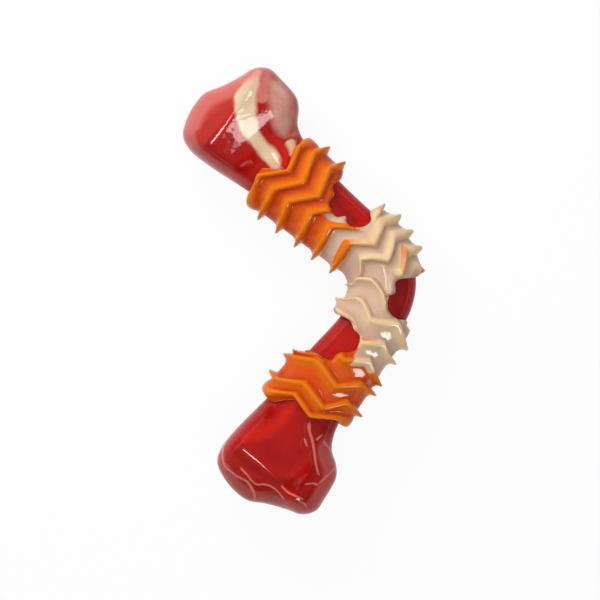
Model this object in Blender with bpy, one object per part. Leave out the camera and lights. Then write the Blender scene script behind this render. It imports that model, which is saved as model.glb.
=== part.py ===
"""Bone-shaped dog toy: a bent two-knuckle core with a ribbed sleeve moulded over its shaft."""
import bpy
import math
import numpy as np

# Sizes are in millimetres and become metres where the vertices are made.
# The toy lies flat: the bend's plane is level, +Y runs up the upper arm and the bend opens to -X.
MM = 0.001
ARM_ANGLE = math.radians(46)
BEND_RADIUS = 24.0
BEND_CENTRE_X = 9.7
BEND_HALF = math.pi / 2 - ARM_ANGLE
GAP = 0.3
# The bounding box's middle lies this far along +X from the row of dimensions above.
BOX_MIDDLE_X = 5.44

# Half of the core's plan outline, from the outer elbow round the knuckle to the inner elbow.
# Each point is (distance along the centreline, distance to the outer side of it).
CORE_OUTLINE = (
    (0, 12.9), (8, 12.1), (16, 11.1), (27, 11.3), (41, 12.2), (54, 13.7), (63, 15.8),
    (68, 18.7), (71.7, 23.8), (75.5, 26.8), (85, 28.4), (91, 28.6), (95.5, 25.2), (98, 18.6),
    (101, 11.3), (104.6, 4.5), (104.9, -1), (103.7, -7.5), (100.3, -14.3), (94.5, -16.8),
    (85, -16.7), (66, -14.4), (54, -13.5), (41, -12.9), (27, -11.7), (14, -11.7), (0, -13.0),
)
# Half of the core's thickness at stations along the centreline.
CORE_THICKNESS = (
    (0, 11.3), (45, 11.4), (56, 11.8), (62, 12.5), (68, 13.6), (78, 16.4), (88, 18.8), (94, 20.1))
# The knuckles are cut flat at this height above the bend's plane, so that the toy lies on a flat
# of each, either way up. The cut's edge is blended over the given height.
REST_HEIGHT = 18.0
FLAT_SOFTNESS = 0.3
# A knuckle's faces rise to a crest through its middle. The edge rounds over from the crest to the
# end, and over this much of the inner and outer sides.
KNUCKLE_CENTRE = (90.0, 5.5)
SIDE_ROUND_INNER, SIDE_ROUND_OUTER = 5.6, 11.0
ROUND_OVERSHOOT = 1.6
# The faces also fall away to the outer side, from this distance on and by this much, in 1/mm.
CROWN_START, CROWN = -4.0, 0.0018
# The knuckles begin here, beyond the sleeve's ends, and have their full section from FLAT_END on.
COLLAR = 60.0
FLAT_START, FLAT_END = 67.5, 75.0

# Half widths and half thickness of the sleeve's valleys, by distance from the elbow.
SLEEVE_OUTER = ((0, 15.4), (12, 14.8), (25, 14.8), (45, 16.6), (66, 17.6))
SLEEVE_INNER = ((0, 14.6), (10, 14.7), (22, 15.6), (45, 16.9), (66, 17.8))
SLEEVE_FRONT = ((0, 14.6), (45, 14.7), (58, 15.0), (68, 15.4))
RIDGE_FRONT = 2.4
RIDGE_SIDE = 3.3
# Ridge positions across the sleeve reach this far to either side.
TIP_REACH = 18.5
# Beyond its first and last ridges the sleeve ends in a lip, which drops below the valleys.
LIP_LENGTH = 1.0
LIP_DROP = 1.4

# Ridge crests from the upper collar to the lower one, each from the inner side to the outer side.
# Each point is (distance to the outer side, distance along the centreline, share of full height).
RIDGES = (
    ((-19, 61.9, 0.35), (-15.5, 63.2, 0.85), (-7.3, 66.2, 1), (1.5, 58.2, 1), (11, 61.4, 1),
     (14, 60.8, 0.7), (19, 59, 0.1)),
    ((-19, 55.8, 1), (-7.5, 58.2, 1), (1.6, 50.9, 1), (13, 55.2, 1), (19, 52.2, 1)),
    ((-19, 46.8, 1), (-7.6, 50.6, 1), (1.4, 42.9, 1), (12.4, 46.6, 1), (19, 43.6, 1)),
    ((-19, 37.6, 1), (-5.5, 40.9, 1), (1.2, 35.2, 1), (12, 38, 1), (19, 34.5, 1)),
    ((-18, 29.2, 1), (-5, 31.7, 1), (1.1, 24.2, 1), (3.5, 21.4, 0), (7.2, 18.9, 0), (10.4, 20.6, 0.6),
     (15, 21.1, 0.75)),
    ((-17.6, 20.2, 1), (-5.6, 22, 1), (1.1, 14.6, 1), (11.1, 17.8, 1), (17.4, 15.6, 1)),
    ((-15.7, 4.6, 0), (-11.6, 5.8, 0.1), (-10.1, 6.6, 1), (-7.3, 13.1, 1), (2.9, 7.2, 1),
     (10.7, 12.7, 1), (17.8, 11, 1)),
    ((-15.5, 3.4, 0), (-6.5, 5.6, 0), (2.9, 2.8, 0), (7.3, 1.5, 0.9), (11.6, 7.4, 1), (19, 6.5, 1)),
    ((-15.5, 2.2, 0), (-12.8, 4.1, 0), (2.9, -1, 0), (12, 1.5, 0), (14.8, 3.4, 0.6), (17.5, 0.8, 0.6)),
    ((-15, -0.5, 0.4), (-12.8, 3, 0.8), (-6.5, 1, 1), (0.7, -8.7, 1), (8, -6.5, 1), (17, -8, 1)),
    ((-17.8, -19.2, 0.8), (-12.2, -11.1, 1), (-9.9, -11.3, 1), (-2.1, -18, 1), (9, -14.1, 1),
     (17.5, -18.1, 1)),
    ((-18, -22.5, 0), (-15.7, -22.7, 0.5), (-12, -22.8, 1), (-9, -23, 1), (0.5, -27.2, 1),
     (9.3, -22.3, 1), (14.2, -24.8, 1), (17.9, -25.3, 1)),
    ((-17.5, -45.3, 1), (-11.4, -41.2, 1), (-6.2, -40.7, 1), (-3.4, -36, 1), (-0.4, -36.7, 1),
     (8.9, -31.1, 1), (18, -35.6, 1)),
    ((-19, -49.9, 1), (-8.8, -43.5, 1), (-6.2, -43.7, 1), (3.7, -46.8, 1), (11, -40.3, 1),
     (18.5, -40, 1)),
    ((-19, -58, 1), (-15.8, -59.3, 1), (-7, -53.3, 1), (4.9, -56.4, 1), (10.8, -49.1, 1),
     (19, -50.2, 1)),
    ((-19, -64.2, 0.3), (-15.4, -65.2, 0.85), (-7.1, -59.1, 1), (2.8, -62, 1), (11.2, -56.5, 1),
     (14, -55.8, 0.8), (19, -55.2, 0.25)),
)
# The first and last ridges end broad and round at the silhouette instead of in a point.
BLUNT_START, BLUNT_END, BLUNT_BREADTH = 11.0, 17.0, 2.2
ELBOW_GAP = 8
# Height across one gap between crests, with the steep side first.
SAWTOOTH = ((0, 1.0), (0.1, 0.82), (0.22, 0.05), (0.5, 0.08), (0.84, 0.42))
DISH = ((0, 1.0), (0.15, 0.8), (0.4, 0.1), (0.6, 0.1), (0.85, 0.8))

# Column angles over the front half, from the outer side to the inner side.
COLUMNS = (0, 9, 18, 27, 36, 43, 50, 58, 67, 76, 85.5, 94, 103, 112, 122, 133, 143, 155, 168, 180)

# Windows through the sleeve, in plan; the side beyond the sleeve is open.
WINDOWS = {
    "upper_window": (
        (40.6, 26), (40.8, 13), (41.1, 10.9), (41.0, 8), (38.6, 6), (38.3, 3.2), (37.8, 2),
        (34.1, -0.1), (32.2, -0.1), (29.8, 2.2), (27.7, 0.8), (25.9, 0.6), (22.4, 2.8),
        (20.9, 7.2), (23.6, 10.6), (21.6, 26)),
    "elbow_window": (
        (0.2, 26), (-0.2, 11.5), (-0.6, 4.6), (-1.8, 3.7), (-4.8, 3.8), (-6.1, 1.6), (-7.1, 1.1),
        (-10.9, 2.5), (-12.5, 5.7), (-12.6, 7.8), (-12.0, 11), (-13.1, 14), (-13.6, 26)),
    "lower_window": (
        (-25, -24), (-24.3, -14), (-23.2, -10), (-23, -7.4), (-24.6, -4.5), (-25.4, -1.1),
        (-28.9, 0.8), (-31.9, 0.6), (-35.3, -3.4), (-39.8, -4.2), (-40.6, -5.6), (-41.4, -11),
        (-42, -12.6), (-44.6, -17.6), (-45, -24)),
}
CUTTER_HALF_HEIGHT = 30.0

# Mesh divisions
SHAFT_RUNGS = 15
KNUCKLE_RUNGS = 15
CURVE_STEPS = 12
FAN_RAYS = 22
RIB_STEPS = 10
LIP_STEPS = 3
BORE_ROWS = 28


def smooth(table, x):
    """Value of a smooth curve through the table's points."""
    xs = [p[0] for p in table]
    ys = [p[1] for p in table]
    if x <= xs[0]:
        return ys[0]
    if x >= xs[-1]:
        return ys[-1]
    i = max(k for k in range(len(xs) - 1) if xs[k] <= x)
    slopes = [(ys[k + 1] - ys[k]) / (xs[k + 1] - xs[k]) for k in range(len(xs) - 1)]

    def tangent(k):
        if k == 0 or k == len(xs) - 1:
            return 0.0
        a, b = slopes[k - 1], slopes[k]
        return 2 * a * b / (a + b) if a * b > 0 else 0.0
    h = xs[i + 1] - xs[i]
    t = (x - xs[i]) / h
    return (ys[i] * (1 + 2 * t) * (1 - t) ** 2 + tangent(i) * h * t * (1 - t) ** 2
            + ys[i + 1] * t * t * (3 - 2 * t) + tangent(i + 1) * h * t * t * (t - 1))


def plan(s, w):
    """Plan point at distance s along the centreline and w to the outer side of it."""
    side = -1 if s < 0 else 1
    s = abs(s)
    turn = min(s / BEND_RADIUS, BEND_HALF)
    run = max(0.0, s - BEND_RADIUS * BEND_HALF)
    nx, ny = math.cos(turn), math.sin(turn)
    x = BEND_CENTRE_X + (BEND_RADIUS + w) * nx - run * ny
    y = (BEND_RADIUS + w) * ny + run * nx
    return x, side * y


def outline_curve():
    """Closely spaced points of the core's half outline, in centreline coordinates."""
    p = [np.array(q, float) for q in CORE_OUTLINE]
    p = [p[1] * (-1, 1)] + p + [p[-2] * (-1, 1)]
    out = []
    for k in range(1, len(p) - 2):
        a, b, c, d = p[k - 1:k + 3]
        t0, t1 = 0.0, np.linalg.norm(b - a) ** 0.5
        t2 = t1 + np.linalg.norm(c - b) ** 0.5
        t3 = t2 + np.linalg.norm(d - c) ** 0.5
        for t in np.linspace(t1, t2, CURVE_STEPS, endpoint=False):
            e = ((t1 - t) * a + (t - t0) * b) / (t1 - t0)
            f = ((t2 - t) * b + (t - t1) * c) / (t2 - t1)
            g = ((t3 - t) * c + (t - t2) * d) / (t3 - t2)
            h = ((t2 - t) * e + (t - t0) * f) / (t2 - t0)
            i = ((t3 - t) * f + (t - t1) * g) / (t3 - t1)
            out.append(((t2 - t) * h + (t - t1) * i) / (t2 - t1))
    out.append(p[-2])
    return np.array(out)


OUTLINE = outline_curve()
OUTER_SIDE = OUTLINE[:np.argmax(OUTLINE[:, 0])]
INNER_SIDE = OUTLINE[np.argmax(OUTLINE[:, 0]):][::-1]


def core_widths(s):
    """The core's distance from the centreline to its outer and inner sides."""
    s = abs(s)
    outer = float(np.interp(s, OUTER_SIDE[:, 0], OUTER_SIDE[:, 1]))
    inner = -float(np.interp(s, INNER_SIDE[:, 0], INNER_SIDE[:, 1]))
    return outer, inner


def core_middle(s):
    """The middle of the core's section, led to the middle of the knuckle beyond the collar."""
    outer, inner = core_widths(s)
    mid = (outer - inner) / 2
    lead = knuckle_lead(abs(s))
    return mid * (1 - lead) + KNUCKLE_CENTRE[1] * lead


def ease(x):
    x = min(max(x, 0.0), 1.0)
    return x * x * (3 - 2 * x)


def knuckle_lead(s):
    """How far the core's section has changed into the knuckle's, from 0 to 1."""
    return ease((s - COLLAR) / (KNUCKLE_CENTRE[0] - COLLAR))


def soft_min(a, b, reach):
    return min(a, b) - max(reach - abs(a - b), 0) ** 2 / (4 * reach)


def rib(edge, centre, flatness):
    """Points from the silhouette edge up to the crest of one rib of the core, as (s, w, z)."""
    pts = []
    edge, centre = np.array(edge, float), np.array(centre, float)
    length = np.linalg.norm(edge - centre)
    towards_end, outwards = (edge - centre) / length
    outer_share = ease(0.5 + 0.5 * outwards)
    side_round = SIDE_ROUND_INNER + (SIDE_ROUND_OUTER - SIDE_ROUND_INNER) * outer_share
    round_width = side_round + (length - side_round) * ease(towards_end)
    for k in range(RIB_STEPS + 1):
        across = math.cos(math.pi / 2 * k / RIB_STEPS) if k < RIB_STEPS else 0.0
        across = across ** (1 - 0.2 * flatness)
        oval = math.sqrt(1 - across ** 2)
        run = min(length * (1 - across) / (ROUND_OVERSHOOT * round_width), 1 / ROUND_OVERSHOOT)
        top = math.sqrt(1 - (1 - 1 / ROUND_OVERSHOOT) ** 2)
        rounded = math.sqrt(1 - (1 - run) ** 2) / top
        s, w = centre + (edge - centre) * across
        up = oval + (rounded - oval) * flatness
        crown = CROWN * max(w - CROWN_START, 0) ** 2 * knuckle_lead(s)
        z = (smooth(CORE_THICKNESS, s) - crown) * up
        pts.append((s, w, soft_min(z, REST_HEIGHT, FLAT_SOFTNESS)))
    return pts


def vertex(s, w, z):
    x, y = plan(s, w)
    return (x - BOX_MIDDLE_X) * MM, y * MM, (z + REST_HEIGHT) * MM


def make_object(name, verts, faces, collection, material):
    mesh = bpy.data.meshes.new(name)
    mesh.from_pydata(verts, [], faces)
    mesh.validate()
    obj = bpy.data.objects.new(name, mesh)
    collection.objects.link(obj)
    if material is not None:
        mesh.materials.append(material)
    return obj


def make_material(name, colour, roughness, coat):
    mat = bpy.data.materials.new(name)
    mat.use_nodes = True
    shader = next(n for n in mat.node_tree.nodes if n.type == "BSDF_PRINCIPLED")
    shader.inputs["Base Color"].default_value = colour
    shader.inputs["Roughness"].default_value = roughness
    shader.inputs["Coat Weight"].default_value = coat
    mat.diffuse_color = colour
    return mat


class Shell:
    """Vertices shared by position, and the faces between them."""

    def __init__(self):
        self.verts = []
        self.index = {}
        self.faces = []

    def add(self, point):
        key = tuple(round(c, 7) for c in point)
        if key not in self.index:
            self.index[key] = len(self.verts)
            self.verts.append(point)
        return self.index[key]

    def face(self, *ids):
        ring = [v for k, v in enumerate(ids) if v != ids[k - 1]]
        if len(ring) > 2:
            self.faces.append(ring)


def build_core(collection, material):
    """The core as ribs from its silhouette to its crest line, the same above and below."""
    shell = Shell()
    stations = list(np.linspace(0, COLLAR, SHAFT_RUNGS, endpoint=False))
    stations += list(np.linspace(COLLAR, KNUCKLE_CENTRE[0], KNUCKLE_RUNGS + 1))
    rungs = []
    for s in [-q for q in stations[:0:-1]] + stations:
        outer, inner = core_widths(s)
        middle = core_middle(s)
        flatness = ease((abs(s) - FLAT_START) / (FLAT_END - FLAT_START))
        row = rib((abs(s), outer), (abs(s), middle), flatness)
        row += rib((abs(s), -inner), (abs(s), middle), flatness)[-2::-1]
        row = [(s, w, z) for q, w, z in row]
        rungs.append(row)

    def strip(row_a, row_b, flip, below):
        sign = -1 if below else 1
        a = [shell.add(vertex(s, w, sign * z)) for s, w, z in row_a]
        b = [shell.add(vertex(s, w, sign * z)) for s, w, z in row_b]
        for k in range(len(a) - 1):
            quad = (a[k], b[k], b[k + 1], a[k + 1])
            shell.face(*(quad[::-1] if flip != below else quad))

    for below in (False, True):
        for row_a, row_b in zip(rungs, rungs[1:]):
            strip(row_a, row_b, False, below)
        for side in (1, -1):
            start = len([p for p in OUTER_SIDE if p[0] < KNUCKLE_CENTRE[0]])
            stop = len(OUTLINE) - len([p for p in INNER_SIDE if p[0] < KNUCKLE_CENTRE[0]])
            outer, inner = core_widths(KNUCKLE_CENTRE[0])
            path = [(KNUCKLE_CENTRE[0], outer)] + [tuple(p) for p in OUTLINE[start:stop]]
            path += [(KNUCKLE_CENTRE[0], -inner)]
            path = np.array(path)
            run = np.concatenate([[0], np.cumsum(np.linalg.norm(np.diff(path, axis=0), axis=1))])
            rays = []
            for d in np.linspace(0, run[-1], FAN_RAYS + 1):
                edge = (np.interp(d, run, path[:, 0]), np.interp(d, run, path[:, 1]))
                rays.append([(side * s, w, z) for s, w, z in rib(edge, KNUCKLE_CENTRE, 1.0)])
            for ray_a, ray_b in zip(rays, rays[1:]):
                strip(ray_a, ray_b, side < 0, below)
    return make_object("bone_core", shell.verts, shell.faces, collection, material)


def ridge_at(k, w):
    """Position along the centreline and height share of ridge k at distance w."""
    nodes = RIDGES[k]
    ws = [n[0] for n in nodes]
    return (float(np.interp(w, ws, [n[1] for n in nodes])),
            float(np.interp(w, ws, [n[2] for n in nodes])))


def sleeve_point(s, angle, height):
    """A point of the sleeve's outer surface, as (s, w, z)."""
    c, up = math.cos(angle), math.sin(angle)
    wide = smooth(SLEEVE_OUTER if c > 0 else SLEEVE_INNER, abs(s))
    rise = height * (RIDGE_FRONT + (RIDGE_SIDE - RIDGE_FRONT) * c * c)
    return s, (wide + rise) * c, (smooth(SLEEVE_FRONT, abs(s)) + rise) * up


def bore_point(s, angle):
    """A point of the sleeve's bore, the gap clear of the core, as (s, w, z)."""
    c, up = math.cos(angle), math.sin(angle)
    outer, inner = core_widths(s)
    mid = core_middle(s)
    wide = (outer - mid if c > 0 else inner + mid) + GAP
    return s, mid + wide * c, (smooth(CORE_THICKNESS, abs(s)) + GAP) * up


def sleeve_column(angle):
    """One column of the sleeve: outer rows from the upper end to the lower end, then the bore."""
    tip = TIP_REACH * math.cos(angle)
    blunt = 1 + (BLUNT_BREADTH - 1) * ease((abs(tip) - BLUNT_START) / (BLUNT_END - BLUNT_START))

    def lip(k, beyond, turns):
        s, share = ridge_at(k, tip)
        rows = []
        for turn in turns:
            height = 1 - LIP_DROP * (1 - math.cos(turn))
            offset = beyond * LIP_LENGTH * blunt * math.sin(turn)
            rows.append(sleeve_point(s + offset, angle, height * share))
        return rows

    turns = [math.pi / 2 * n / LIP_STEPS for n in range(LIP_STEPS + 1)]
    last = len(RIDGES) - 1
    outer = lip(0, 1, turns[:0:-1])
    for k in range(last):
        s0, h0 = ridge_at(k, tip)
        s1, h1 = ridge_at(k + 1, tip)
        if k == ELBOW_GAP:
            steps = DISH
        elif k < ELBOW_GAP:
            steps = SAWTOOTH
        else:
            steps = [(0, 1.0)] + [(1 - x, h) for x, h in SAWTOOTH[:0:-1]]
        for x, h in steps:
            share = h0 if x < 0.5 else h1
            if k == 0 and x < 0.5:
                x *= blunt
            elif k == last - 1 and x > 0.5:
                x = 1 - (1 - x) * blunt
            outer.append(sleeve_point(s0 + (s1 - s0) * x, angle, h * share))
    outer += lip(last, -1, turns)
    top, bottom = outer[0][0], outer[-1][0]
    bore = [bore_point(q, angle) for q in np.linspace(bottom, top, BORE_ROWS)]
    return outer + bore


def build_sleeve(collection, material):
    """The sleeve as a closed grid of rows that follow the zigzag of its ridges."""
    shell = Shell()
    front = [sleeve_column(math.radians(a)) for a in COLUMNS]
    back = [[(s, w, -z) for s, w, z in col] for col in front[-2:0:-1]]
    columns = [[shell.add(vertex(*p)) for p in col] for col in front + back]
    rows = len(columns[0])
    for i in range(len(columns)):
        a, b = columns[i - 1], columns[i]
        for j in range(rows):
            shell.face(a[j - 1], b[j - 1], b[j], a[j])
    return make_object("chew_sleeve", shell.verts, shell.faces, collection, material)


def build_cutter(name, outline, collection):
    """A straight cutter through the sleeve, from its plan outline."""
    ring = [vertex(s, w, 0)[:2] for s, w in outline]
    area = sum(a[0] * b[1] - b[0] * a[1] for a, b in zip(ring, ring[1:] + ring[:1]))
    if area < 0:
        ring = ring[::-1]
    n = len(ring)
    low = (REST_HEIGHT - CUTTER_HALF_HEIGHT) * MM
    high = (REST_HEIGHT + CUTTER_HALF_HEIGHT) * MM
    verts = [(x, y, low) for x, y in ring] + [(x, y, high) for x, y in ring]
    faces = [list(range(n))[::-1], list(range(n, 2 * n))]
    faces += [(k, (k + 1) % n, n + (k + 1) % n, n + k) for k in range(n)]
    cutter = make_object(name, verts, faces, collection, None)
    cutter.hide_render = True
    cutter.display_type = "WIRE"
    return cutter


def main():
    for obj in list(bpy.data.objects):
        bpy.data.objects.remove(obj)
    toy = bpy.data.collections.new("bone_dog_toy")
    cutters = bpy.data.collections.new("cutters")
    bpy.context.scene.collection.children.link(toy)
    bpy.context.scene.collection.children.link(cutters)
    core_mat = make_material("core_nylon", (0.33, 0.012, 0.01, 1), 0.18, 0.5)
    sleeve_mat = make_material("sleeve_rubber", (0.78, 0.42, 0.14, 1), 0.28, 0.4)
    build_core(toy, core_mat)
    sleeve = build_sleeve(toy, sleeve_mat)
    for name, outline in WINDOWS.items():
        cut = sleeve.modifiers.new(name, "BOOLEAN")
        cut.operation = "DIFFERENCE"
        cut.solver = "EXACT"
        cut.object = build_cutter(name, outline, cutters)


main()
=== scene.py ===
"""Looks of the bone-shaped dog toy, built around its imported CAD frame."""

import math

import bpy
import numpy as np
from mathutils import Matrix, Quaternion, Vector
from mathutils.kdtree import KDTree


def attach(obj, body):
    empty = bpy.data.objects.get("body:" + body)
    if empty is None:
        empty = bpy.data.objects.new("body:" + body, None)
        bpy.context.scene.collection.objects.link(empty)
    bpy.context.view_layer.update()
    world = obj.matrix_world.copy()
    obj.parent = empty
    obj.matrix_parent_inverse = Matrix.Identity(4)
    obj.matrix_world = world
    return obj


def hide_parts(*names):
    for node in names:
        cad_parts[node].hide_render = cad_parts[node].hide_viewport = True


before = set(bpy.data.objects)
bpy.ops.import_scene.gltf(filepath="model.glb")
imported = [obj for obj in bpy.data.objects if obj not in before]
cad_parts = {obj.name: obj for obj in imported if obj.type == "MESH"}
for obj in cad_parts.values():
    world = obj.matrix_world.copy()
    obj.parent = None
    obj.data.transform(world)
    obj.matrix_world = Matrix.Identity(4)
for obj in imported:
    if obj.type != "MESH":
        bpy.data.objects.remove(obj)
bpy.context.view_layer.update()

# The shape is written in millimetres, in the same centreline coordinates as the part's source:
# s runs along the centreline from the elbow, w from the centreline to the outer side.
MM = 0.001
ARM_ANGLE = math.radians(46)
BEND_RADIUS = 24.0
BEND_CENTRE_X = 9.7
BEND_HALF = math.pi / 2 - ARM_ANGLE
# The part's origin lies under the middle of its bounding box, this far from the centreline's own.
BOX_MIDDLE_X = 5.44
# The bore's clearance round the core
GAP = 0.3

# The core's half outline as (s, w), from the outer side round the end to the inner side
CORE_OUTLINE = (
    (0, 12.9), (8, 12.1), (16, 11.1), (27, 11.3), (41, 12.2), (54, 13.7), (63, 15.8),
    (68, 18.7), (71.7, 23.8), (75.5, 26.8), (85, 28.4), (91, 28.6), (95.5, 25.2), (98, 18.6),
    (101, 11.3), (104.6, 4.5), (104.9, -1), (103.7, -7.5), (100.3, -14.3), (94.5, -16.8),
    (85, -16.7), (66, -14.4), (54, -13.5), (41, -12.9), (27, -11.7), (14, -11.7), (0, -13.0),
)
# Half the core's thickness, by s
CORE_THICKNESS = (
    (0, 11.3), (45, 11.4), (56, 11.8), (62, 12.5), (68, 13.5), (78, 15.95), (88, 17.9), (94, 19.15))
# The knuckles are cut flat at this height above the bend's plane, and the cut's edge is blended.
REST_HEIGHT = 18.0
FLAT_SOFTNESS = 0.3
KNUCKLE_CENTRE = (90.0, 5.5)
# The knuckles' faces fall away beyond CROWN_START, by CROWN times the distance from it squared.
CROWN_START, CROWN = -4.0, 0.0012
# The section's middle leaves the middle of the widths here, on its way to the knuckle's centre.
COLLAR = 60.0
# The knuckles' sides are rounded over these widths, and their ends over their whole length.
SIDE_ROUND_INNER, SIDE_ROUND_OUTER = 5.6, 11.0
# The rounding stops short of its own top by this factor, so that it meets the face in a crest
# line, and the two are blended over CREST_SOFTNESS of its run.
ROUND_OVERSHOOT = 1.6
CREST_SOFTNESS = 0.05
# The oval section of the shaft turns into the flat-faced one of the knuckles between these.
FLAT_START, FLAT_END = 67.5, 75.0
# How much closer to the silhouette a rib's points lie on the knuckles, as a power.
EDGE_CROWDING = 0.2

# The sleeve's floors: half widths to the outer and the inner side and half thickness, by s
SLEEVE_OUTER = ((0, 15.4), (12, 14.8), (25, 14.8), (45, 16.6), (66, 17.6))
SLEEVE_INNER = ((0, 14.6), (10, 14.7), (22, 15.6), (45, 16.9), (66, 17.8))
SLEEVE_FRONT = ((0, 14.6), (45, 14.7), (58, 15.0), (68, 15.4))
# Height of the ridges in front and at the sides, and how far across they are listed
RIDGE_FRONT = 2.4
RIDGE_SIDE = 3.3
TIP_REACH = 18.5
# The thin rolled lip beyond the first and the last ridge
LIP_LENGTH = 1.0
LIP_DROP = 1.4

# Ridge crests from the upper collar to the lower one, each from the inner side to the outer side.
# Each point is (distance to the outer side, distance along the centreline, share of full height).
RIDGES = (
    ((-19, 61.9, 0.35), (-15.5, 63.2, 0.85), (-7.3, 66.2, 1), (1.5, 58.2, 1), (11, 61.4, 1),
     (14, 60.8, 0.7), (19, 59, 0.1)),
    ((-19, 55.8, 1), (-7.5, 58.2, 1), (1.6, 50.9, 1), (13, 55.2, 1), (19, 52.2, 1)),
    ((-19, 46.8, 1), (-7.6, 50.6, 1), (1.4, 42.9, 1), (12.4, 46.6, 1), (19, 43.6, 1)),
    ((-19, 37.6, 1), (-5.5, 40.9, 1), (1.2, 35.2, 1), (12, 38, 1), (19, 34.5, 1)),
    ((-18, 29.2, 1), (-5, 31.7, 1), (1.1, 24.2, 1), (3.5, 21.4, 0), (7.2, 18.9, 0),
     (10.4, 20.6, 0.6), (15, 21.1, 0.75)),
    ((-17.6, 20.2, 1), (-5.6, 22, 1), (1.1, 14.6, 1), (11.1, 17.8, 1), (17.4, 15.6, 1)),
    ((-15.7, 4.6, 0), (-11.6, 5.8, 0.1), (-10.1, 6.6, 1), (-7.3, 13.1, 1), (2.9, 7.2, 1),
     (10.7, 12.7, 1), (17.8, 11, 1)),
    ((-15.5, 3.4, 0), (-6.5, 5.6, 0), (2.9, 2.8, 0), (7.3, 1.5, 0.9), (11.6, 7.4, 1), (19, 6.5, 1)),
    ((-15.5, 2.2, 0), (-12.8, 4.1, 0), (2.9, -1, 0), (12, 1.5, 0), (14.8, 3.4, 0.6),
     (17.5, 0.8, 0.6)),
    ((-15, -0.5, 0.4), (-12.8, 3, 0.8), (-6.5, 1, 1), (0.7, -8.7, 1), (8, -6.5, 1), (17, -8, 1)),
    ((-17.8, -19.2, 0.8), (-12.2, -11.1, 1), (-9.9, -11.3, 1), (-2.1, -18, 1), (9, -14.1, 1),
     (17.5, -18.1, 1)),
    ((-18, -22.5, 0), (-15.7, -22.7, 0.5), (-12, -22.8, 1), (-9, -23, 1), (0.5, -27.2, 1),
     (9.3, -22.3, 1), (14.2, -24.8, 1), (17.9, -25.3, 1)),
    ((-17.5, -45.3, 1), (-11.4, -41.2, 1), (-6.2, -40.7, 1), (-3.4, -36, 1), (-0.4, -36.7, 1),
     (8.9, -31.1, 1), (18, -35.6, 1)),
    ((-19, -49.9, 1), (-8.8, -43.5, 1), (-6.2, -43.7, 1), (3.7, -46.8, 1), (11, -40.3, 1),
     (18.5, -40, 1)),
    ((-19, -58, 1), (-15.8, -59.3, 1), (-7, -53.3, 1), (4.9, -56.4, 1), (10.8, -49.1, 1),
     (19, -50.2, 1)),
    ((-19, -64.2, 0.3), (-15.4, -65.2, 0.85), (-7.1, -59.1, 1), (2.8, -62, 1), (11.2, -56.5, 1),
     (14, -55.8, 0.8), (19, -55.2, 0.25)),
)
# The first and last ridges end broad and round at the silhouette instead of in a point.
BLUNT_RIDGES = (0, 15)
BLUNT_START, BLUNT_END, BLUNT_BREADTH = 11.0, 17.0, 2.2
# The steep flanks change sides between this ridge and the next, at the elbow.
ELBOW_GAP = 8
# Share of the painted shade in the crease at the bottom of a steep flank, by distance from the
# crest.
PAINTED_CREASE_SHADE = ((0, 0), (1.2, 0.3), (2.2, 1), (3.4, 0.45), (6, 0))
# Height share of a ridge's two flanks, by distance from its crest.
STEEP_FLANK = ((0, 1), (0.6, 0.95), (1.1, 0.74), (1.6, 0.36), (2.1, 0.08), (3.0, 0))
RAMP_FLANK = ((0, 1), (0.6, 0.95), (1.15, 0.75), (1.7, 0.48), (2.5, 0.3), (4, 0.12), (6.5, 0))
# Where two flanks meet on a floor, the crease between them is blended over this height share.
FLANK_SOFTNESS = 0.08
# The crests narrow to points at the silhouette by this much, the quicker the higher the power.
TIP_NARROWING, TIP_POWER = 0.8, 6
# The zigzags' corners are softened with a bell curve, over a table of crest positions by w.
CORNER_SOFTNESS, CORNER_REACH = 0.5, 2
TABLE_REACH, TABLE_STEP = 24, 0.1

# Outlines of the windows in the sleeve, as (s, w).
WINDOWS = (
    ((40.6, 26), (40.8, 13), (41.1, 10.9), (41.0, 8), (38.6, 6), (38.3, 3.2), (37.8, 2),
     (34.1, -0.1), (32.2, -0.1), (29.8, 2.2), (27.7, 0.8), (25.9, 0.6), (22.4, 2.8), (20.9, 7.2),
     (23.6, 10.6), (21.6, 26)),
    ((0.2, 26), (-0.2, 11.5), (-0.6, 4.6), (-1.8, 3.7), (-4.8, 3.8), (-6.1, 1.6), (-7.1, 1.1),
     (-10.9, 2.5), (-12.5, 5.7), (-12.6, 7.8), (-12.0, 11), (-13.1, 14), (-13.6, 26)),
    ((-25, -24), (-24.3, -14), (-23.2, -10), (-23, -7.4), (-24.6, -4.5), (-25.4, -1.1),
     (-28.9, 0.8), (-31.9, 0.6), (-35.3, -3.4), (-39.8, -4.2), (-40.6, -5.6), (-41.4, -11),
     (-42, -12.6), (-44.6, -17.6), (-45, -24)),
)
CUTTER_HALF_HEIGHT = 30.0
# The sleeve thins to this share of its wall within this distance of a window.
RIM_WIDTH = 1.6
RIM_WALL = 0.25

# Share of orange along each crest and across the floor after it, by distance w. The rest is
# cream, and what isn't listed is all orange.
ALL_CREAM = ((-20, 0), (20, 0))
CREST_ORANGE = {
    4: ((-20, 1), (1, 1), (3.5, 0.1), (11, 0.1), (14, 0.45), (20, 0.45)),
    5: ((-20, 1), (-6.5, 1), (-4.5, 0.5), (3, 0.42), (11, 0.35), (13, 0.2), (16, 0.4), (20, 0.4)),
    6: ((-20, 0), (14, 0), (18, 0.3)),
    7: ((-20, 0), (6.2, 0), (7.2, 0.55), (12, 0.55), (13.5, 0.1), (20, 0.3)),
    8: ((-20, 0), (15, 0), (17, 0.7)),
    9: ((-20, 0.1), (20, 0)),
    10: ((-20, 0.25), (-14, 0), (20, 0)),
    11: ((-20, 0.3), (-14, 0), (20, 0)),
    12: ((-20, 1), (1.5, 1), (4, 0.1), (11, 0.1), (14, 1), (20, 1)),
}
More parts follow.
